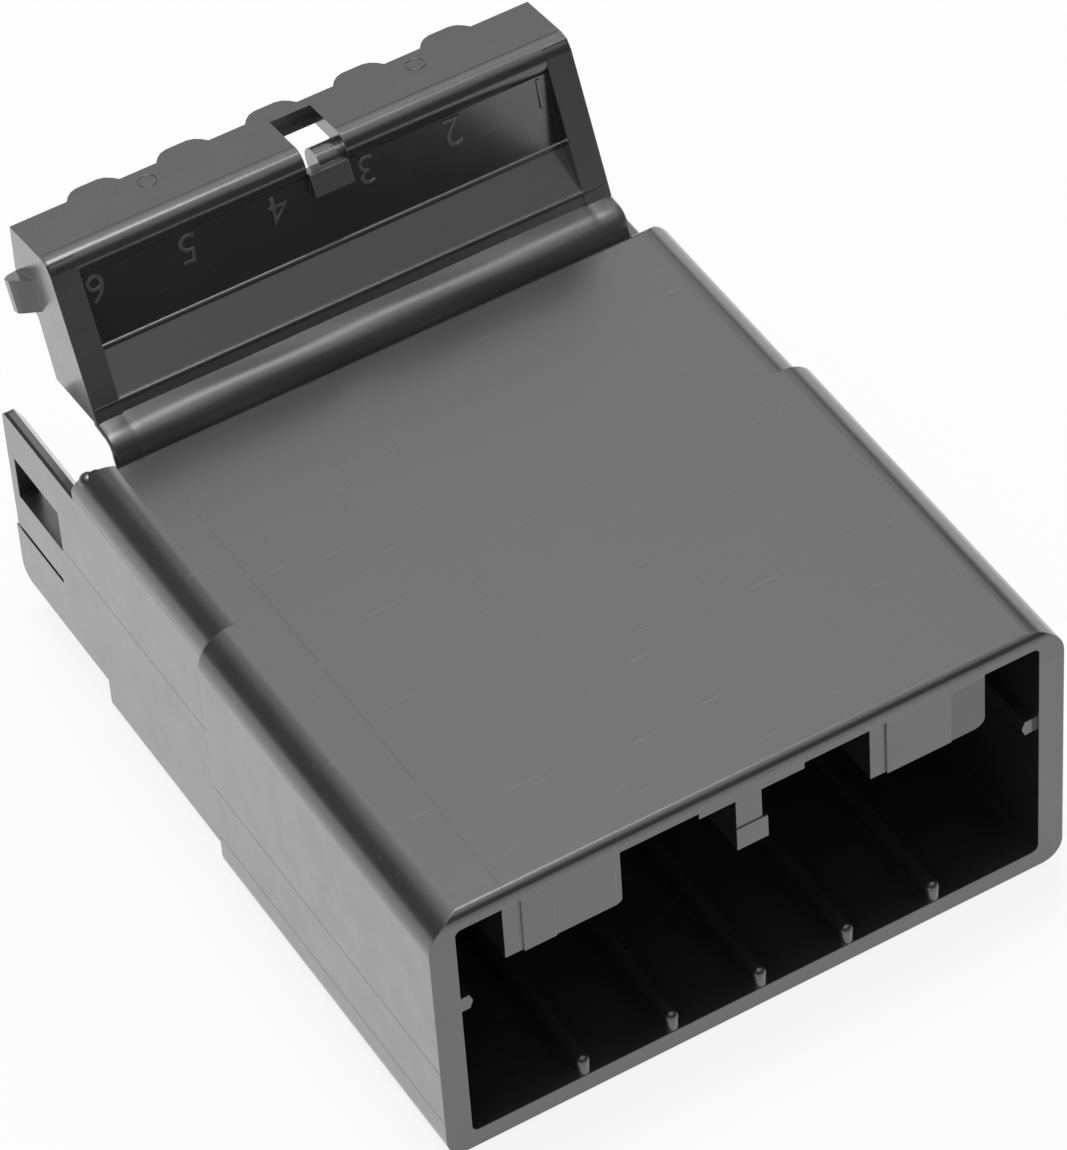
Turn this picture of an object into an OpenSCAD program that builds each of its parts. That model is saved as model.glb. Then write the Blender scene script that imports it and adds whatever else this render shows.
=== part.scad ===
// Twelve-way wire to board connector housing with a hinged rear cover.
// One nylon moulding: a hooded body with two side arms, a thin living hinge and a cover, shown with the cover open.
// X runs across the housing, Y from the mouth to the rear, Z up. Millimetres.

/* [Hood] */
// Width of the hood across its side faces
hood_w = 29.6; // [28:0.1:32]
// Height of the housing
hood_h = 13.9; // [13:0.1:15]
// Depth of the hood from the mouth to its rear step
hood_d = 18.5; // [17:0.1:20]
// Thickness of the side walls
side_wall = 1.2; // [1:0.05:1.4]
// Thickness of the floor
floor_t = 0.95; // [0.8:0.05:1.1]
// Thickness of the top wall
top_t = 0.8; // [0.7:0.05:1]
// Radius of the long top edges
top_r = 1.6; // [1:0.1:1.8]
// Radius of the long bottom edges of the hood
bottom_r = 1; // [0.8:0.1:1.4]
// Radius of the top edge at the mouth
lip_r = 0.45; // [0.3:0.05:0.6]

/* [Rear body] */
// How far the hood stands proud of the rear body on each side
body_step = 0.46; // [0.3:0.02:0.6]
// Distance from the mouth to the rear end of the body
body_d = 29.15; // [28:0.05:31]
// Radius of the top edge at the rear, under the living hinge
rear_r = 0.3; // [0.2:0.05:0.4]

/* [Contacts] */
// Columns of contact cavities
columns = 6; // [4:1:6]
// Distance between two columns
pitch = 4.2; // [4:0.1:4.3]
// Distance between the two rows
row_pitch = 4.7; // [4.5:0.1:5]
// Height of the lower row's centre line
row_z = 3.2; // [3:0.1:3.5]
// Width of a cavity at the rear
cavity_w = 3.3; // [2.8:0.1:3.4]
// Height of a cavity at the rear
cavity_h = 3.5; // [3:0.1:3.7]
// Depth of the open hood in front of the contact block
hood_cavity_d = 17; // [16:0.1:18]

/* [Arms] */
// Thickness of each side arm
arm_t = 1; // [0.8:0.02:1]
// Rear end of the arms, from the mouth
arm_end = 36.65; // [36:0.05:37]
// Underside of the arms
arm_z0 = 1.9; // [1.5:0.1:2.5]
// Top of the left arm
arm_z1 = 12; // [11:0.05:12.2]
// Top of the right arm
right_arm_z1 = 10.9; // [10.5:0.05:12.2]

/* [Cover] */
// Width of the cover without its latch nubs
cover_w = 25; // [24.6:0.1:25]
// Angle of the open cover's rim above the horizontal
cover_angle = 66.5; // [55:0.5:75]
// Length of the rim from the hinge end to the free end
rim_l = 7.45; // [7:0.05:7.6]
// Thickness of the cover's end walls
end_wall = 1.25; // [1:0.05:1.4]
// How far each latch nub stands out
nub_h = 0.75; // [0.5:0.05:0.75]
// Distance between two ribs of the scalloped edge
scallop_pitch = 4.25; // [4.1:0.05:4.3]

/* [Hidden] */
$fn = 48;
// Distance from the mouth to the middle of the whole part, which is the origin
mid_y = 18.91;
body_w = hood_w - 2 * body_step;
body_z0 = 0.1;
inner_w = hood_w - 2 * side_wall;
ceiling = hood_h - top_t;
arm_x = body_w / 2;
// The open cover's rim starts here, seen from the side: [y, z]
rim_start = [30.9, 14.68];
film_t = 0.3;
film_r = 0.95;
plastic = "#2b2b2d";

// Rectangle standing on z = z0 with rounded top and bottom corners, drawn in the XZ plane
module section(w, z0, z1, r_top, r_low) {
  translate([-w / 2, z0 + r_low]) square([w, z1 - z0 - r_top - r_low]);
  translate([-w / 2 + r_top, z0 + r_low]) square([w - 2 * r_top, z1 - z0 - r_low]);
  translate([-w / 2 + r_low, z0]) square([w - 2 * r_low, z1 - z0 - r_top]);
  for (s = [-1, 1]) {
    translate([s * (w / 2 - r_top), z1 - r_top]) circle(r_top);
    translate([s * (w / 2 - r_low), z0 + r_low]) circle(r_low);
  }
}

// Moves what is drawn from the mouth so that the origin is under the middle of the whole part
module from_mouth() {
  translate([0, -mid_y, 0]) children();
}

// Solid between y0 and y1 with an XZ outline
module along_y(y0, y1) {
  translate([0, y1, 0]) rotate([90, 0, 0]) linear_extrude(y1 - y0) children();
}

// Solid between x0 and x1 with a YZ outline
module along_x(x0, x1) {
  translate([x0, 0, 0]) rotate([90, 0, 90]) linear_extrude(x1 - x0) children();
}

// Block between two corners
module block(a, b) {
  translate(a) cube(b - a);
}

// Side outline of the whole body: the top edges at the mouth and at the rear are rounded
module body_side() {
  translate([0, -0.1]) square([body_d, hood_h + 0.1 - lip_r]);
  translate([lip_r, -0.1]) square([body_d - lip_r - rear_r, hood_h + 0.1]);
  translate([lip_r, hood_h - lip_r]) circle(lip_r);
  translate([body_d - rear_r, hood_h - rear_r]) circle(rear_r);
}

// Hood and rear body before anything is cut out
module outer_form() {
  intersection() {
    union() {
      along_y(0, hood_d) section(hood_w, 0, hood_h, top_r, bottom_r);
      along_y(hood_d - 1, body_d) section(body_w, body_z0, hood_h, top_r, 0.5);
    }
    along_x(-hood_w, hood_w) body_side();
  }
}

// One contact cavity: a wide rear chamber, and a slot for the tab in front of its stop
module cavity(x, z) {
  block([x - cavity_w / 2, hood_cavity_d + 1.4, z - cavity_h / 2], [x + cavity_w / 2, body_d, z + cavity_h / 2]);
  block([x - 1.3, hood_cavity_d - 1, z - 0.8], [x + 1.3, hood_cavity_d + 2, z + 0.8]);
  // Flared entry for the tab
  translate([x, hood_cavity_d - 0.01, z]) rotate([-90, 0, 0]) cylinder(h = 0.5, r1 = 1.55, r2 = 1.05);
}

// The open hood, the cavities behind it and the shallow recess around the contact block's rear face
module hollows() {
  along_y(-1, hood_cavity_d) section(inner_w, floor_t, ceiling, 0.3, 0.35);
  along_y(body_d - 1, body_d + 1) section(body_w - 2 * side_wall, floor_t, ceiling, 0.5, 0.4);
  for (i = [0 : columns - 1], r = [0, 1]) {
    cavity((i - (columns - 1) / 2) * pitch, row_z + r * row_pitch);
  }
}

// Low rib on the hood's floor, with a rounded crest and a rounded front end that reaches down the lip
module floor_rib(x) {
  w = 0.64;
  front = 0.34;
  crest = floor_t + 0.95;
  along_y(front, hood_cavity_d + 0.1) {
    translate([x - w / 2, 0.2]) square([w, crest - w / 2 - 0.2]);
    translate([x, crest - w / 2]) circle(w / 2);
  }
  translate([x, front, 0.3]) cylinder(h = crest - w / 2 - 0.3, d = w);
  translate([x, front, crest - w / 2]) sphere(d = w);
}

// Keying rail under the top wall, made of stepped strips from x0 to x1
module key_rail(x0, x1, split_a, split_b, corner) {
  z = 10.05;
  block([x0, 0.16, z], [split_a, hood_cavity_d + 0.1, ceiling + 0.1]);
  block([split_a - 0.01, 0.06, z - 0.02], [split_b, hood_cavity_d + 0.1, ceiling + 0.1]);
  block([split_b - 0.01, 0.1, z], [x1 - corner, hood_cavity_d + 0.1, ceiling + 0.1]);
  // Round lower corner on the rail's right side
  along_y(0.12, hood_cavity_d + 0.1) {
    translate([x1 - corner - 0.05, z + corner]) square([corner + 0.05, ceiling - z - corner + 0.1]);
    translate([x1 - corner, z + corner]) circle(corner);
  }
}

// Centre key: a pad on the top wall, a web and a wider foot
module centre_key() {
  block([-2.45, 0.02, ceiling - 0.35], [2.45, hood_cavity_d + 0.1, ceiling + 0.1]);
  block([-0.75, 0.05, 10.9], [0.45, hood_cavity_d + 0.1, ceiling]);
  block([-0.78, 0, 9.9], [0.68, hood_cavity_d + 0.1, 11.1]);
}

// Guide rib half way up a side wall, with a rounded crest
module side_rib(s) {
  rib_z = 8.42;
  rib_r = 0.38;
  reach = 0.65;
  along_y(0.25, hood_cavity_d + 0.1) {
    translate([s * (inner_w / 2 - reach + rib_r + 0.15), rib_z]) square([2 * (reach - rib_r) + 0.3, 2 * rib_r], center = true);
    translate([s * (inner_w / 2 - reach + rib_r), rib_z]) circle(rib_r);
  }
}

// Side outline of an arm: rounded rear corners, the latch window and the spring slit
module arm_side(top) {
  difference() {
    union() {
      translate([body_d - 2, arm_z0]) square([arm_end - body_d + 1.5, top - arm_z0]);
      translate([body_d - 2, arm_z0 + 0.8]) square([arm_end - body_d + 2.2, 2.25]);
      translate([arm_end - 0.6, arm_z0 + 0.8]) circle(0.8);
      translate([body_d - 2, 5]) square([arm_end - body_d + 2, top - 5.5]);
      translate([arm_end - 0.5, top - 0.5]) circle(0.5);
    }
    translate([32.1, 7.25]) square([3.95, 2.3]);
    translate([32.65, 4.92]) square([6, 0.25]);
    translate([32.65, 5.045]) circle(0.125);
  }
}

// One side arm, thinner along its top
module arm(s, top) {
  mirror([s < 0 ? 1 : 0, 0, 0]) intersection() {
    along_x(arm_x - 2, arm_x) arm_side(top);
    along_y(body_d - 2, arm_end + 1) polygon([[arm_x - arm_t, 0], [arm_x, 0], [arm_x, top - 0.12], [arm_x - 0.12, top],
      [arm_x - 0.42, top], [arm_x - arm_t, top - 1.1]]);
  }
}

// Shoulder of the left side wall, which reaches back over the root of the arm
module shoulder() {
  intersection() {
    along_y(body_d - 2, body_d + 2) section(body_w, body_z0, hood_h, top_r, 0.5);
    translate([0, 0, arm_z1 - 1]) linear_extrude(hood_h) polygon([[-arm_x, body_d - 1], [-12.7, body_d - 1], [-12.7, body_d],
      [-13.3, body_d + 0.3], [-arm_x + 0.3, body_d + 1], [-arm_x, body_d + 1.1]]);
    along_x(-hood_w, 0) polygon([[body_d - 2, 0], [body_d + 1.2, 0], [body_d + 1.2, arm_z1 + 0.3], [body_d + 0.7, hood_h - 0.5],
      [body_d + 0.4, hood_h - 0.1], [body_d + 0.1, hood_h], [body_d - 2, hood_h]]);
  }
}

// The housing moulding
module housing() {
  color(plastic) from_mouth() {
    difference() {
      outer_form();
      hollows();
    }
    for (i = [1 : columns - 1]) {
      floor_rib((i - columns / 2) * pitch + 0.15);
    }
    key_rail(-11.4, -6.05, -10.57, -9.1, 0.25);
    key_rail(5.6, 11.05, 6.35, 9.4, 0.45);
    centre_key();
    for (s = [-1, 1]) {
      side_rib(s);
    }
    arm(-1, arm_z1);
    arm(1, right_arm_z1);
    shoulder();
    // Gate mark on the left shoulder
    translate([-13.75, body_d + 0.55, hood_h - 0.75]) sphere(0.4);
  }
}

// Living hinge: a thin strap that rises from the rear of the top wall and curls back to the underside of the cover's rim
module hinge_film() {
  bend = [body_d + 0.3 + film_r, rim_start[1] - film_r];
  color(plastic) from_mouth() along_x(-cover_w / 2, cover_w / 2) difference() {
    union() {
      intersection() {
        difference() {
          translate(bend) circle(film_r);
          translate(bend) circle(film_r - film_t);
        }
        translate([body_d, bend[1]]) square([bend[0] - body_d, 2 * film_r]);
      }
      translate([body_d, bend[1] - 0.55]) square([0.3 + film_t, 0.55]);
      translate([bend[0], rim_start[1] - film_t]) square([1, film_t]);
    }
    // The strap ends just short of the cover's outside
    translate(rim_start - [0, 0.01]) rotate(cover_angle) end_outline();
  }
}

// Places what is drawn in the cover's own axes: U along the rim to the free end, V out of the open side
module cover_frame() {
  translate([0, rim_start[0], rim_start[1]]) rotate([cover_angle, 0, 0]) children();
}

// End wall outline: a leaning plate whose rear edge bulges where the latch nub stands
module end_outline() {
  polygon([[0, 0], [rim_l - 0.6, 0], [rim_l - 0.1, -0.15], [rim_l + 0.16, -0.58], [rim_l + 0.93, -3.26],
    [6.25, -4.25], [5.4, -4.2], [4.15, -3.25], [1.22, -3.45]]);
}

// Cross-section of the cover between its end walls: shelf at the hinge, sloped panel and the free flange
module cover_profile() {
  // Shelf from the hinge to the foot of the panel
  polygon([[0.05, -0.05], [0.68, -0.05], [2.73, -1.02], [2.75, -1.8], [0.75, -0.95], [0.2, -0.45]]);
  // Wall at the hinge end
  polygon([[0.2, -0.45], [0.8, -0.7], [1.75, -3.2], [1.25, -3.4]]);
  // Raised lines along both edges of the shelf
  translate([0.62, -0.1]) circle(0.13);
  translate([2.7, -1.04]) circle(0.14);
  // Panel that carries the numbers
  polygon([[2.5, -1.05], [6.6, -0.2], [7.2, -0.95], [2.75, -1.8], [2.4, -1.6]]);
  // Flange at the free end, with a round outer edge
  polygon([[6.2, -0.4], [rim_l - 0.6, -0.4], [rim_l + 0.16, -0.58], [rim_l + 0.93, -3.26], [rim_l + 0.16, -3.48], [6.9, -1.25]]);
  translate([rim_l - 0.6, -0.8]) circle(0.8);
}

// Rib of the flange's far edge, which passes between the wires when the cover is shut
module flange_rib(x) {
  translate([x, rim_l + 0.93, -3.26]) rotate([106, 0, 0]) linear_extrude(0.8)
    polygon([[-1.3, 0.4], [1.3, 0.4], [1.25, 0], [1.05, -0.28], [0.8, -0.5], [0.5, -0.6], [-0.5, -0.6], [-0.8, -0.5],
      [-1.05, -0.28], [-1.25, 0]]);
}

// Latch nub on an end wall: a ramp that rises towards the edge which enters the arm's window
module latch_nub(s) {
  mirror([s < 0 ? 1 : 0, 0, 0]) translate([cover_w / 2 - 0.1, 6.15, 0]) rotate([90, 0, 0]) linear_extrude(1.5)
    polygon([[0, -2.35], [nub_h * 0.8 + 0.1, -3.1], [nub_h + 0.1, -3.35], [nub_h + 0.1, -3.8], [nub_h * 0.8, -4.05], [0, -4.2]]);
}

// The rear cover
module rear_cover() {
  color(plastic) from_mouth() cover_frame() {
    difference() {
      union() {
        along_x(-cover_w / 2 + 0.1, cover_w / 2 - 0.1) cover_profile();
        for (s = [-1, 1]) {
          along_x(s * (cover_w / 2 - end_wall / 2) - end_wall / 2, s * (cover_w / 2 - end_wall / 2) + end_wall / 2) end_outline();
          latch_nub(s);
        }
        for (i = [-2 : 2]) {
          flange_rib(i * scallop_pitch - 0.07);
        }
      }
      // Release slot through the flange
      block([-0.45, 6.05, -2.75], [1.5, 9, 1]);
    }
    // Release tongue beside the slot, with its foot on the panel
    block([-0.4, 5.35, -0.95], [1.45, 6.4, 0.05]);
    along_x(0.35, 1.55) {
      translate([6.3, -1.2]) circle(0.75);
    }
  }
}

housing();
hinge_film();
rear_cover();
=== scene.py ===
import math

import bpy
from mathutils import Matrix, Vector


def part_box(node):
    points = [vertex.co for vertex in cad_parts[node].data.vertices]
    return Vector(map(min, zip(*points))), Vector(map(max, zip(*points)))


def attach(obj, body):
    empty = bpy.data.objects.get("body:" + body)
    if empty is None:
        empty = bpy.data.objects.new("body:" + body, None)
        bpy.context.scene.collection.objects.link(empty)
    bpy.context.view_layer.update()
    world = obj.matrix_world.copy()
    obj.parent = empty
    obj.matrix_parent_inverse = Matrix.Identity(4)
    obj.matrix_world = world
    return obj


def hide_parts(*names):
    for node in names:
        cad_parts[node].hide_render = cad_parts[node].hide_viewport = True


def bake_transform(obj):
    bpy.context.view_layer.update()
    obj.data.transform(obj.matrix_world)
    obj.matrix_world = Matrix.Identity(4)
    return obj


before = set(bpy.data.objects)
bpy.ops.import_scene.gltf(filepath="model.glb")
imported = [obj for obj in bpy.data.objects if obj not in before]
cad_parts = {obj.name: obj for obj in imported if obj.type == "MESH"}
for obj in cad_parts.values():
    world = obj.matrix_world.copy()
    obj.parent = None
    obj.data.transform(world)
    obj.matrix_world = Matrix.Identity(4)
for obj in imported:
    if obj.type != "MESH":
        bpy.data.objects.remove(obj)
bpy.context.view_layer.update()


# ---------------------------------------------------------------------------------------------------------------------
# Camera. A long lens looks down on the left front corner of the housing.
# Its place is measured from the middle of the mouth's bottom edge.
def add_object(name, data):
    made = bpy.data.objects.new(name, data)
    bpy.context.scene.collection.objects.link(made)
    return made


mouth = Vector((0.0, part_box("housing")[0][1], 0.0))
to_right = Vector((0.856187, -0.514079, -0.051643))
to_top = Vector((0.400820, 0.597815, 0.694234))
to_back = Vector((-0.326019, -0.615093, 0.717894))
mouth_to_lens = Vector((-0.087339, -0.147808, 0.202874))
lens = bpy.data.cameras.new("camera")
lens.lens = 203.53
lens.sensor_width = 36.0
lens.clip_start = 0.01
lens.clip_end = 20.0
camera = add_object("camera", lens)
stand = Matrix((to_right, to_top, to_back)).transposed().to_4x4()
stand.translation = mouth + mouth_to_lens
camera.matrix_world = stand
bpy.context.scene.camera = camera
bpy.context.scene.view_settings.view_transform = "Standard"


# ---------------------------------------------------------------------------------------------------------------------
# White table and studio light. The table is a large matt white sheet that stays white to the lens and in reflections.
# Three soft boxes hang above, behind and to the right of the part, in a pale room whose ceiling is its brightest side.
def node(tree, kind, x, y, feeds=None, **settings):
    made = tree.nodes.new(kind)
    made.location = (x, y)
    for name, value in settings.items():
        setattr(made, name, value)
    for socket, value in (feeds or {}).items():
        if isinstance(value, bpy.types.NodeSocket):
            tree.links.new(value, made.inputs[socket])
        else:
            made.inputs[socket].default_value = value
    return made


def math_node(tree, operation, x, y, *values):
    return node(tree, "ShaderNodeMath", x, y, dict(enumerate(values)), operation=operation).outputs[0]


def new_material(name):
    made = bpy.data.materials.new(name)
    made.use_nodes = True
    made.node_tree.nodes.clear()
    return made, made.node_tree


def seen_by(tree, *rays):
    path = node(tree, "ShaderNodeLightPath", -1000, 300)
    seen = path.outputs[rays[0]]
    for step, ray in enumerate(rays[1:]):
        seen = math_node(tree, "MAXIMUM", -800 + 200 * step, 300, seen, path.outputs[ray])
    return seen


white = (1.0, 1.0, 1.0, 1.0)
own_light = 0.86  # how much of the table's brightness is its own to the lens
table_paint, tree = new_material("white_table")
matt = node(tree, "ShaderNodeBsdfDiffuse", -200, 0, {"Color": (0.9, 0.9, 0.9, 1.0)})
glow = node(tree, "ShaderNodeEmission", -200, -150, {"Color": white, "Strength": 1.0})
direct = seen_by(tree, "Is Camera Ray", "Is Glossy Ray", "Is Transmission Ray")
share = math_node(tree, "MULTIPLY", -200, 200, direct, own_light)
sheet = node(tree, "ShaderNodeMixShader", 100, 0, {0: share, 1: matt.outputs[0], 2: glow.outputs[0]})
node(tree, "ShaderNodeOutputMaterial", 300, 0, {"Surface": sheet.outputs[0]})

table_half = 1.5
table_drop = -2e-5  # just under the housing, so that the two faces don't lie in one plane
corners = [(x * table_half, y * table_half, table_drop) for x, y in ((-1, -1), (1, -1), (1, 1), (-1, 1))]
table_mesh = bpy.data.meshes.new("table")
table_mesh.from_pydata(corners, [], [(0, 1, 2, 3)])
table_mesh.materials.append(table_paint)
add_object("table", table_mesh)

room = bpy.data.worlds.new("pale_room")
bpy.context.scene.world = room
room.use_nodes = True
tree = room.node_tree
tree.nodes.clear()
way = node(tree, "ShaderNodeTexCoord", -1000, -200)
rise = node(tree, "ShaderNodeSeparateXYZ", -800, -200, {0: way.outputs["Generated"]})
ceiling = node(
    tree, "ShaderNodeMapRange", -600, -200,
    {"Value": rise.outputs["Z"], "From Min": 0.62, "From Max": 0.85, "To Min": 0.12, "To Max": 1.0},
)
lit = node(
    tree, "ShaderNodeMix", -300, 0,
    {"Factor": seen_by(tree, "Is Glossy Ray"), "A": 0.36, "B": ceiling.outputs["Result"]},
    data_type="FLOAT",
)
level = math_node(
    tree, "MAXIMUM", 0, 0, lit.outputs["Result"], seen_by(tree, "Is Camera Ray", "Is Transmission Ray")
)
wall = node(tree, "ShaderNodeBackground", 200, 0, {"Color": white, "Strength": level})
node(tree, "ShaderNodeOutputWorld", 400, 0, {"Surface": wall.outputs[0]})


def soft_box(name, where, width, depth, power):
    lamp = bpy.data.lights.new(name, "AREA")
    lamp.shape = "RECTANGLE"
    lamp.size = width
    lamp.size_y = depth
    lamp.energy = power
    hung = add_object(name, lamp)
    hung.location = where
    hung.rotation_euler = (-Vector(where)).to_track_quat("-Z", "Y").to_euler()


soft_box("soft_box_above", (-0.02, 0.04, 0.40), 0.26, 0.16, 1.0)
soft_box("soft_box_behind", (0.15, 0.30, 0.30), 0.30, 0.26, 0.2)
soft_box("soft_box_right", (0.45, 0.32, 0.10), 0.40, 0.18, 0.26)


# ---------------------------------------------------------------------------------------------------------------------
# Housing. One black nylon moulding: the keyed hood, the contact block behind it and the two sprung side arms.
# The steel mould leaves a satin skin, softly broken edges and fine lines where its halves and slides met.
def new_group(name, sizes, gives, kind="ShaderNodeTree"):
    made = bpy.data.node_groups.new(name, kind)
    for label, value in sizes.items():
        socket = made.interface.new_socket(label, in_out="INPUT", socket_type="NodeSocketFloat")
        socket.default_value = value
    for label, socket_type in gives.items():
        made.interface.new_socket(label, in_out="OUTPUT", socket_type=socket_type)
    return made, node(made, "NodeGroupInput", -1400, 0).outputs


def object_place(tree, x, y):
    return node(tree, "ShaderNodeTexCoord", x, y).outputs["Object"]


def object_axes(tree, x, y):
    return node(tree, "ShaderNodeSeparateXYZ", x + 200, y, {0: object_place(tree, x, y)}).outputs


# Broken edges: the normal that rounds them off, and a mask of where they are, used for a painted highlight along them
broken_edges, given = new_group(
    "broken_edges", {"Radius": 0.00008}, {"Normal": "NodeSocketVector", "Edge": "NodeSocketFloat"}
)
rounded = node(broken_edges, "ShaderNodeBevel", -900, 0, {"Radius": given["Radius"]}, samples=6)
flat = node(broken_edges, "ShaderNodeNewGeometry", -900, -200)
agreement = node(
    broken_edges, "ShaderNodeVectorMath", -600, -100,
    {0: rounded.outputs[0], 1: flat.outputs["Normal"]},
    operation="DOT_PRODUCT",
)
bent = math_node(broken_edges, "SUBTRACT", -400, -100, 1.0, agreement.outputs["Value"])
strong = math_node(broken_edges, "MULTIPLY", -200, -100, bent, 5.0)
edge = math_node(broken_edges, "MINIMUM", 0, -100, strong, 1.0)
node(broken_edges, "NodeGroupOutput", 900, 0, {"Normal": rounded.outputs[0], "Edge": edge})

# Moulded skin: fine satin grain over a slow waviness, as one height
moulded_skin, given = new_group(
    "moulded_skin", {"Grain": 1.0, "Waviness": 1.0}, {"Height": "NodeSocketFloat", "Cloud": "NodeSocketFloat"}
)
spot = object_place(moulded_skin, -1200, 200)
grain = node(moulded_skin, "ShaderNodeTexNoise", -900, 200, {"Vector": spot, "Scale": 9000.0, "Detail": 3.0})
wave = node(moulded_skin, "ShaderNodeTexNoise", -900, -100, {"Vector": spot, "Scale": 420.0, "Detail": 2.0})
grain_part = math_node(moulded_skin, "MULTIPLY", -600, 200, grain.outputs["Fac"], given["Grain"])
wave_part = math_node(moulded_skin, "MULTIPLY", -600, -100, wave.outputs["Fac"], given["Waviness"])
skin_height = math_node(moulded_skin, "ADD", -300, 100, grain_part, wave_part)
node(moulded_skin, "NodeGroupOutput", 900, 0, {"Height": skin_height, "Cloud": wave.outputs["Fac"]})

# Handling: hairline scuffs that run every way, and a few specks of dust
handling, given = new_group(
    "handling", {"Scuffs": 1.0, "Dust": 1.0}, {"Scuff": "NodeSocketFloat", "Speck": "NodeSocketFloat"}
)
spot = object_place(handling, -1200, 200)
strand_scale = 330.0
scuff = 0.0
for turn, (angle, stretch) in enumerate(((0.5, 20.0), (-0.9, 16.0), (1.9, 18.0))):
    y = 300 - 250 * turn
    narrow = strand_scale * stretch
    turned = node(
        handling, "ShaderNodeMapping", -1000, y,
        {"Vector": spot, "Rotation": (0.3 * turn, 0.2, angle), "Scale": (strand_scale, narrow, narrow)},
    )
    strands = node(
        handling, "ShaderNodeTexNoise", -800, y, {"Vector": turned.outputs[0], "Scale": 1.0, "Detail": 1.0}
    )
    crests = node(
        handling, "ShaderNodeMapRange", -600, y,
        {"Value": strands.outputs["Fac"], "From Min": 0.745, "From Max": 0.83},
    )
    scuff = math_node(handling, "MAXIMUM", -400, y, scuff, crests.outputs["Result"])
motes = node(handling, "ShaderNodeTexVoronoi", -600, -500, {"Vector": spot, "Scale": 330.0, "Randomness": 1.0})
draw = node(handling, "ShaderNodeSeparateColor", -400, -650, {0: motes.outputs["Color"]})
near = math_node(handling, "LESS_THAN", -300, -500, motes.outputs["Distance"], 0.016)
chosen = math_node(handling, "GREATER_THAN", -200, -650, draw.outputs[0], 0.72)
speck = math_node(handling, "MULTIPLY", 0, -500, near, chosen)
node(
    handling, "NodeGroupOutput", 900, 0,
    {
        "Scuff": math_node(handling, "MULTIPLY", 200, 200, scuff, given["Scuffs"]),
        "Speck": math_node(handling, "MULTIPLY", 200, -500, speck, given["Dust"]),
    },
)

# Mould line: a thin straight line at one height on the two side faces, between two depths
mould_line, given = new_group(
    "mould_line",
    {"Height": 0.005, "From": -0.02, "To": 0.0, "Thickness": 0.00009, "Side": 0.0138},
    {"Line": "NodeSocketFloat"},
)
axes = object_axes(mould_line, -1200, 200)
above = math_node(mould_line, "SUBTRACT", -800, 200, axes["Z"], given["Height"])
away = math_node(mould_line, "ABSOLUTE", -700, 200, above)
faded = math_node(mould_line, "DIVIDE", -600, 200, away, given["Thickness"])
left_over = math_node(mould_line, "SUBTRACT", -500, 200, 1.0, faded)
close = math_node(mould_line, "MAXIMUM", -400, 200, left_over, 0.0)
after = math_node(mould_line, "GREATER_THAN", -400, 0, axes["Y"], given["From"])
before = math_node(mould_line, "LESS_THAN", -400, -200, axes["Y"], given["To"])
wide = math_node(mould_line, "ABSOLUTE", -600, -400, axes["X"])
outer = math_node(mould_line, "GREATER_THAN", -400, -400, wide, given["Side"])
between = math_node(mould_line, "MULTIPLY", -200, 0, after, before)
there = math_node(mould_line, "MULTIPLY", -200, -300, between, outer)
node(mould_line, "NodeGroupOutput", 900, 0, {"Line": math_node(mould_line, "MULTIPLY", 0, 0, close, there)})

# Witness line: a thin broken line along the top wall, at one distance from the middle
witness_line, given = new_group(
    "witness_line", {"Across": -0.0112, "Thickness": 0.00004}, {"Line": "NodeSocketFloat"}
)
axes = object_axes(witness_line, -1200, 200)
beside = math_node(witness_line, "SUBTRACT", -800, 200, axes["X"], given["Across"])
away = math_node(witness_line, "ABSOLUTE", -600, 200, beside)
close = math_node(witness_line, "LESS_THAN", -400, 200, away, given["Thickness"])
on_top = math_node(witness_line, "GREATER_THAN", -400, 0, axes["Z"], 0.0138)
dashes = node(
    witness_line, "ShaderNodeTexNoise", -800, -200,
    {"Vector": object_place(witness_line, -1200, -200), "Scale": 1500.0},
)
unbroken = math_node(witness_line, "GREATER_THAN", -400, -200, dashes.outputs["Fac"], 0.47)
there = math_node(witness_line, "MULTIPLY", -200, 100, close, on_top)
node(witness_line, "NodeGroupOutput", 900, 0, {"Line": math_node(witness_line, "MULTIPLY", 0, 0, there, unbroken)})


# All the tool's lines on a piece, as one mask; each mould line is a height and the two depths that it runs between
def tool_lines(tree, mould_lines, witness):
    mask = 0.0
    for number, (height, depth_from, depth_to) in enumerate(mould_lines):
        y = -600 - 200 * number
        drawn = node(
            tree, "ShaderNodeGroup", -1100, y,
            {"Height": height, "From": depth_from, "To": depth_to},
            node_tree=mould_line,
        )
        mask = math_node(tree, "MAXIMUM", -900, y, mask, drawn.outputs["Line"])
    if witness is not None:
        drawn = node(tree, "ShaderNodeGroup", -1300, -1600, {"Across": witness}, node_tree=witness_line)
        fainter = math_node(tree, "MULTIPLY", -1100, -1600, drawn.outputs["Line"], 0.8)
        mask = math_node(tree, "MAXIMUM", -900, -1600, mask, fainter)
    return mask


# A rubbed rectangle on a wall that faces the mouth, from its lower left corner
def rubbed_patch(tree, left, bottom, width=0.0017, height=0.003):
    axes = object_axes(tree, -1300, -1900)
    mask = 1.0
    for step, (axis, operation, limit) in enumerate((
        ("X", "GREATER_THAN", left),
        ("X", "LESS_THAN", left + width),
        ("Z", "GREATER_THAN", bottom),
        ("Z", "LESS_THAN", bottom + height),
    )):
        inside = math_node(tree, operation, -900, -1900 - 200 * step, axes[axis], limit)
        mask = math_node(tree, "MULTIPLY", -700, -1900 - 200 * step, mask, inside)
    return mask


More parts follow.
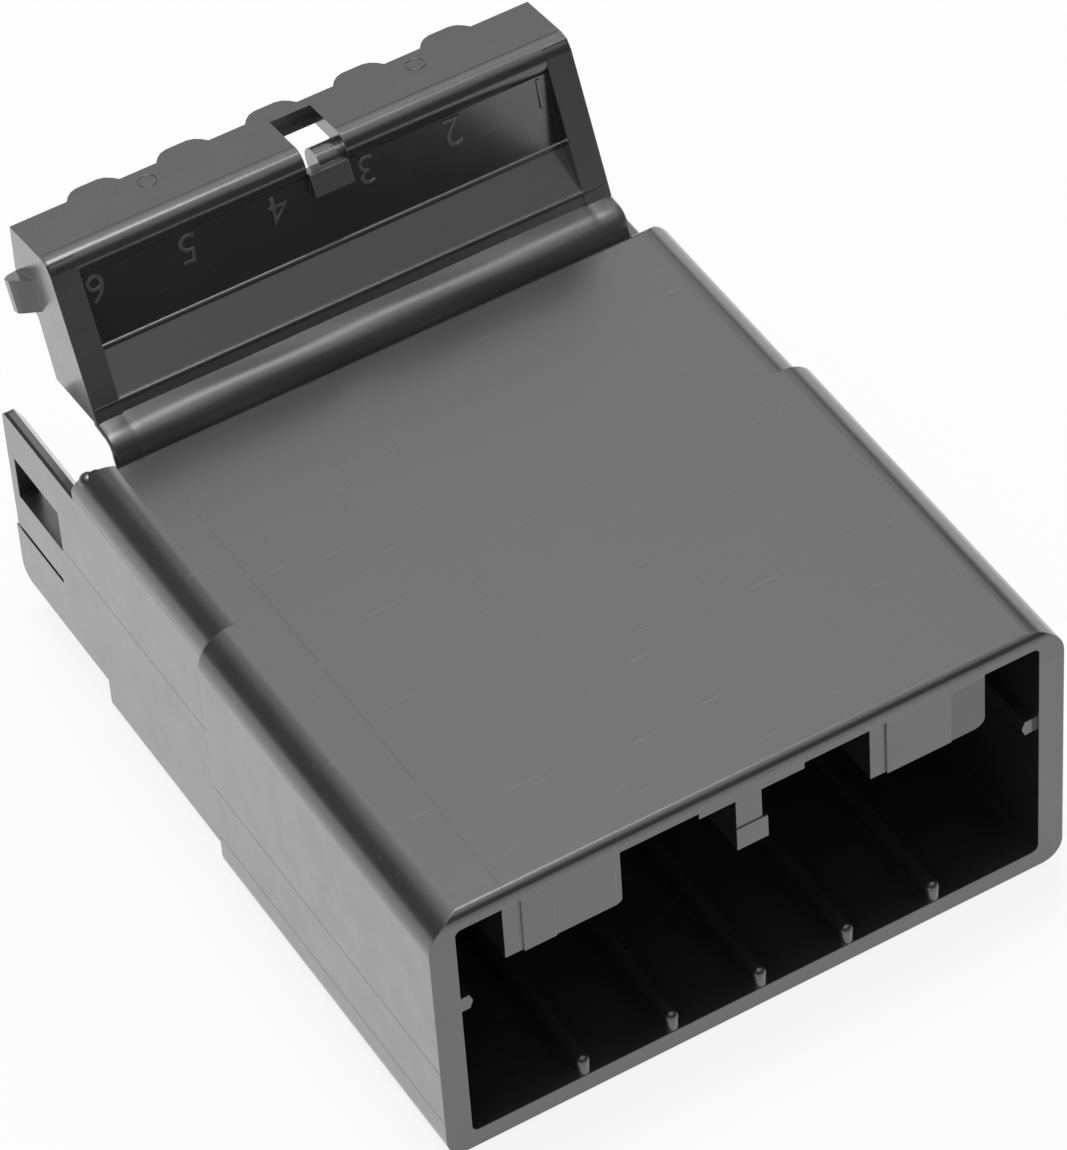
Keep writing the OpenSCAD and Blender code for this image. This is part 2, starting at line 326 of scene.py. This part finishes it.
def black_nylon(name, base, rough, coat_rough=0.2, mould_lines=(), witness=None, patch=None, scuffs=1.0, dust=1.0,
                grain=1.0):
    made, tree = new_material(name)
    edges = node(tree, "ShaderNodeGroup", -1100, 300, node_tree=broken_edges).outputs
    skin = node(tree, "ShaderNodeGroup", -1100, 0, {"Grain": grain}, node_tree=moulded_skin).outputs
    touched = node(
        tree, "ShaderNodeGroup", -1100, -300, {"Scuffs": scuffs, "Dust": dust}, node_tree=handling
    ).outputs
    lines = tool_lines(tree, mould_lines, witness)

    # The lines are cut into the skin, and the edges' rounding carries both
    height = math_node(tree, "MULTIPLY_ADD", -700, -100, lines, -7.0, skin["Height"])
    relief = node(
        tree, "ShaderNodeBump", -300, 100,
        {"Strength": 0.35, "Distance": 0.000012, "Height": height, "Normal": edges["Normal"]},
    )

    # Painted highlight makes the broken edges paler than the skin; scuffs are paler from wear, and dust is paler still
    edge_highlight = math_node(tree, "MULTIPLY", -700, 300, edges["Edge"], 0.45)
    rubbed = math_node(tree, "MULTIPLY", -700, -250, touched["Scuff"], 0.5)
    highlight_and_scuff = math_node(tree, "MAXIMUM", -500, 200, edge_highlight, rubbed)
    highlight_and_wear_tone = [0.075 + channel for channel in base]
    tone = node(
        tree, "ShaderNodeMix", -300, 400,
        {"Factor": highlight_and_scuff, "A": (*base, 1.0), "B": (*highlight_and_wear_tone, 1.0)},
        data_type="RGBA",
    )
    dusty = node(
        tree, "ShaderNodeMix", -100, 400,
        {"Factor": touched["Speck"], "A": tone.outputs["Result"], "B": (0.30, 0.29, 0.28, 1.0)},
        data_type="RGBA",
    )

    # The gloss drifts slowly over the skin and is lost in scuffs, in the tool's lines and in the rubbed patch
    dulled = math_node(tree, "MULTIPLY_ADD", -500, -50, skin["Cloud"], 0.2, rough - 0.1)
    dulled = math_node(tree, "MULTIPLY_ADD", -350, -150, touched["Scuff"], 0.12, dulled)
    dulled = math_node(tree, "MULTIPLY_ADD", -200, -250, lines, 0.4, dulled)
    if patch is not None:
        dulled = math_node(tree, "MULTIPLY_ADD", -50, -350, rubbed_patch(tree, *patch), 0.25, dulled)

    nylon = node(
        tree, "ShaderNodeBsdfPrincipled", 200, 200,
        {
            "Base Color": dusty.outputs["Result"], "Roughness": dulled, "Normal": relief.outputs[0],
            "IOR": 1.62, "Specular IOR Level": 0.5,
            "Coat Weight": 1.0, "Coat IOR": 1.58, "Coat Roughness": coat_rough,
        },
    )
    node(tree, "ShaderNodeOutputMaterial", 500, 200, {"Surface": nylon.outputs[0]})
    return made


hood_back = mouth.y + 0.0185
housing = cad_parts["housing"]
housing.data.materials.clear()
housing.data.materials.append(black_nylon(
    "black_nylon_body", (0.022, 0.022, 0.024), 0.34,
    mould_lines=(
        (0.0053, mouth.y, hood_back),
        (0.0022, mouth.y, hood_back),
        (0.0074, hood_back, mouth.y + 0.0321),
        (0.0122, hood_back, mouth.y + 0.0302),
    ),
    witness=-0.0112, patch=(0.0094, 0.0098),
))

# ---------------------------------------------------------------------------------------------------------------------
# Living hinge. A strap of the same nylon, three tenths of a millimetre thick, that rises out of the body behind the
# top wall and curls back to the cover. It is moulded with both and bends each time the cover is moved.
strap_half_width = 0.0125
strap_root = Vector((0.0, mouth.y + 0.02931, 0.01322))
above_root = Vector((0.0, mouth.y + 0.02947, 0.01348))
bend_centre = Vector((0.0, mouth.y + 0.0304, 0.01373))
bend_radius = 0.0008
bend_steps = 12
path = [strap_root, above_root]
for step in range(bend_steps + 1):
    angle = math.radians(172.0 - step * 82.0 / bend_steps)
    path.append(bend_centre + Vector((0.0, math.cos(angle), math.sin(angle))) * bend_radius)
for step in range(1, 6):
    path.append(bend_centre + Vector((0.0, 0.00016 * step, bend_radius + 0.00001 * step)))

# Across the strap, as shares of its half width: close rows at the rounded ends and at the shallow groove inside them
groove = 0.905
end_rows = [groove - 0.01, groove, groove + 0.01, 0.97, 0.992, 1.0]
across = [-share for share in reversed(end_rows)] + [0.087 * (i - 10) for i in range(21)] + end_rows


def half_thickness(along, share, grooved):
    thick = 0.00014 + 0.00002 * abs(2.0 * along - 1.0)
    if abs(share) > 0.98:
        thick *= 0.55 if abs(share) > 0.995 else 0.85
    if grooved and abs(abs(share) - groove) < 0.004:
        thick *= 0.86
    return thick


points = []
for side in (1.0, -1.0):
    for i, centre in enumerate(path):
        ahead = path[min(i + 1, len(path) - 1)] - path[max(i - 1, 0)]
        outwards = Vector((0.0, -ahead.z, ahead.y)).normalized()
        for share in across:
            ripple = 0.000012 * math.sin(share * 9.0 + i * 0.5)
            lift = side * half_thickness(i / (len(path) - 1), share, side > 0) + ripple
            at = centre + outwards * lift
            points.append((share * strap_half_width, at.y, at.z))

rows, columns = len(path), len(across)
one_side = rows * columns
faces = []
for i in range(rows - 1):
    for j in range(columns - 1):
        a = i * columns + j
        outer_face = (a, a + 1, a + columns + 1, a + columns)
        faces.append(outer_face)
        faces.append(tuple(one_side + corner for corner in reversed(outer_face)))
rim = [j for j in range(columns)] + [i * columns + columns - 1 for i in range(1, rows)]
rim += [(rows - 1) * columns + j for j in range(columns - 2, -1, -1)] + [i * columns for i in range(rows - 2, 0, -1)]
for a, b in zip(rim, rim[1:] + rim[:1]):
    faces.append((b, a, a + one_side, b + one_side))

strap_mesh = bpy.data.meshes.new("hinge_strap")
strap_mesh.from_pydata(points, [], faces)
strap_mesh.polygons.foreach_set("use_smooth", [True] * len(strap_mesh.polygons))
strap_mesh.update()
strap_mesh.materials.append(black_nylon(
    "black_nylon_strap", (0.026, 0.026, 0.028), 0.42, coat_rough=0.36, scuffs=0.8, dust=0.5, grain=0.9
))
strap = add_object("hinge_strap", strap_mesh)
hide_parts("hinge_film")
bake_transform(strap)

# ---------------------------------------------------------------------------------------------------------------------
# Rear cover. A tray of the same nylon with a scalloped flange, a release slot with its tongue, and two latch nubs.
# Its hollow side is polished more than the housing's outside.
cover_nylon = black_nylon(
    "black_nylon_cover", (0.018, 0.018, 0.020), 0.26, coat_rough=0.17, scuffs=0.7, dust=0.7, grain=0.5
)
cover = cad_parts["rear_cover"]
cover.data.materials.clear()
cover.data.materials.append(cover_nylon)

# ---------------------------------------------------------------------------------------------------------------------
# Column numbers. Plain raised figures on the cover's panel, one for each column of contacts, engraved in the mould.
# They read the right way up from behind when the cover is shut.
x_axis = Vector((1.0, 0.0, 0.0))
cover_lean = math.radians(66.5)
cover_foot = mouth + Vector((0.0, 0.0309, 0.01468))
up_cover = Vector((0.0, math.cos(cover_lean), math.sin(cover_lean)))
out_of_tray = Vector((0.0, -math.sin(cover_lean), math.cos(cover_lean)))


def on_cover(along, out):
    return cover_foot + up_cover * along + out_of_tray * out


def frame_of(across, up, out):
    return Matrix((across, up, out)).transposed().to_4x4()


def plain_mesh(thing):
    bpy.context.view_layer.update()
    mesh = bpy.data.meshes.new_from_object(thing.evaluated_get(bpy.context.evaluated_depsgraph_get()))
    bpy.data.objects.remove(thing)
    return mesh


panel_foot = on_cover(0.0025, -0.00105)
panel_head = on_cover(0.0066, -0.0002)
panel_up = (panel_head - panel_foot).normalized()
panel_out = x_axis.cross(panel_up).normalized()
figure_line = panel_foot + panel_up * 0.0030
figure_height = 0.0014
figure_squeeze = 0.95
figure_relief = 0.0020  # scales the letters' own depth
# The figures' paler tone is a painted highlight: they are moulded in the cover's own black nylon.
figure_nylon_painted_highlight = black_nylon("black_nylon_figures_painted_highlight", (0.07, 0.07, 0.073), 0.38, scuffs=0.0, dust=0.0)


def raised_figure(figure, x):
    letter = bpy.data.curves.new("figure", "FONT")
    letter.body = figure
    letter.size = 1.0
    letter.align_x = "CENTER"
    letter.align_y = "CENTER"
    letter.extrude = 0.028
    letter.bevel_depth = 0.006
    letter.bevel_resolution = 1
    letter.offset = -0.012
    mesh = plain_mesh(add_object("figure", letter))
    low = [min(v.co[k] for v in mesh.vertices) for k in (0, 1)]
    high = [max(v.co[k] for v in mesh.vertices) for k in (0, 1)]
    tall = figure_height / (high[1] - low[1])
    centred = Matrix.Translation((-(low[0] + high[0]) / 2, -(low[1] + high[1]) / 2, 0.0))
    sized = Matrix.Diagonal((tall * figure_squeeze, tall, figure_relief, 1.0))
    stood = Matrix.Translation(figure_line + x_axis * x) @ frame_of(-x_axis, -panel_up, panel_out)
    mesh.transform(stood @ sized @ centred)
    mesh.materials.clear()
    mesh.materials.append(figure_nylon_painted_highlight)
    return add_object("figure_" + figure, mesh)


for figure, x in zip("654321", (-0.01065, -0.0063, -0.0020, 0.00225, 0.00645, 0.01075)):
    raised = raised_figure(figure, x)
    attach(raised, "cover")

# ---------------------------------------------------------------------------------------------------------------------
# Ejector marks. Two round witness marks on the flange, left by the pins that push the moulding out of the mould.
# Each is a thin raised ring.
flange_near = on_cover(0.00761, -0.00058)
flange_far = on_cover(0.00838, -0.00326)
down_flange = (flange_far - flange_near).normalized()
flange_out = down_flange.cross(x_axis).normalized()
if flange_out.z < 0:
    flange_out = -flange_out
marks_centre = flange_near + down_flange * 0.0019

mark_tree, given = new_group(
    "ejector_marks", {"Ring Radius": 0.00042, "Wall Radius": 0.00003, "Spread": 0.0129, "Middle": 0.0},
    {"Geometry": "NodeSocketGeometry"}, kind="GeometryNodeTree",
)
half_back = math_node(mark_tree, "MULTIPLY_ADD", -1100, 250, given["Spread"], -0.5, given["Middle"])
first = node(mark_tree, "ShaderNodeCombineXYZ", -850, 250, {"X": half_back})
gap = node(mark_tree, "ShaderNodeCombineXYZ", -850, 100, {"X": given["Spread"]})
row = node(
    mark_tree, "GeometryNodeMeshLine", -600, 200,
    {"Count": 2, "Start Location": first.outputs[0], "Offset": gap.outputs[0]},
)
ring = node(
    mark_tree, "GeometryNodeCurvePrimitiveCircle", -850, -100, {"Resolution": 28, "Radius": given["Ring Radius"]}
)
wall_ring = node(
    mark_tree, "GeometryNodeCurvePrimitiveCircle", -850, -300, {"Resolution": 6, "Radius": given["Wall Radius"]}
)
tube = node(
    mark_tree, "GeometryNodeCurveToMesh", -600, -100,
    {"Curve": ring.outputs[0], "Profile Curve": wall_ring.outputs[0]},
)
copies = node(
    mark_tree, "GeometryNodeInstanceOnPoints", -350, 100, {"Points": row.outputs[0], "Instance": tube.outputs[0]}
)
real = node(mark_tree, "GeometryNodeRealizeInstances", -100, 100, {0: copies.outputs[0]})
painted = node(
    mark_tree, "GeometryNodeSetMaterial", 150, 100, {"Geometry": real.outputs[0], "Material": cover_nylon}
)
node(mark_tree, "NodeGroupOutput", 400, 100, {0: painted.outputs[0]})

maker = add_object("ejector_maker", bpy.data.meshes.new("ejector_maker"))
maker.modifiers.new("ejector_marks", "NODES").node_group = mark_tree
mark_mesh = plain_mesh(maker)
turned = frame_of(x_axis, flange_out.cross(x_axis), flange_out)
mark_mesh.transform(Matrix.Translation(marks_centre) @ turned)
marks = add_object("ejector_marks", mark_mesh)
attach(marks, "cover")
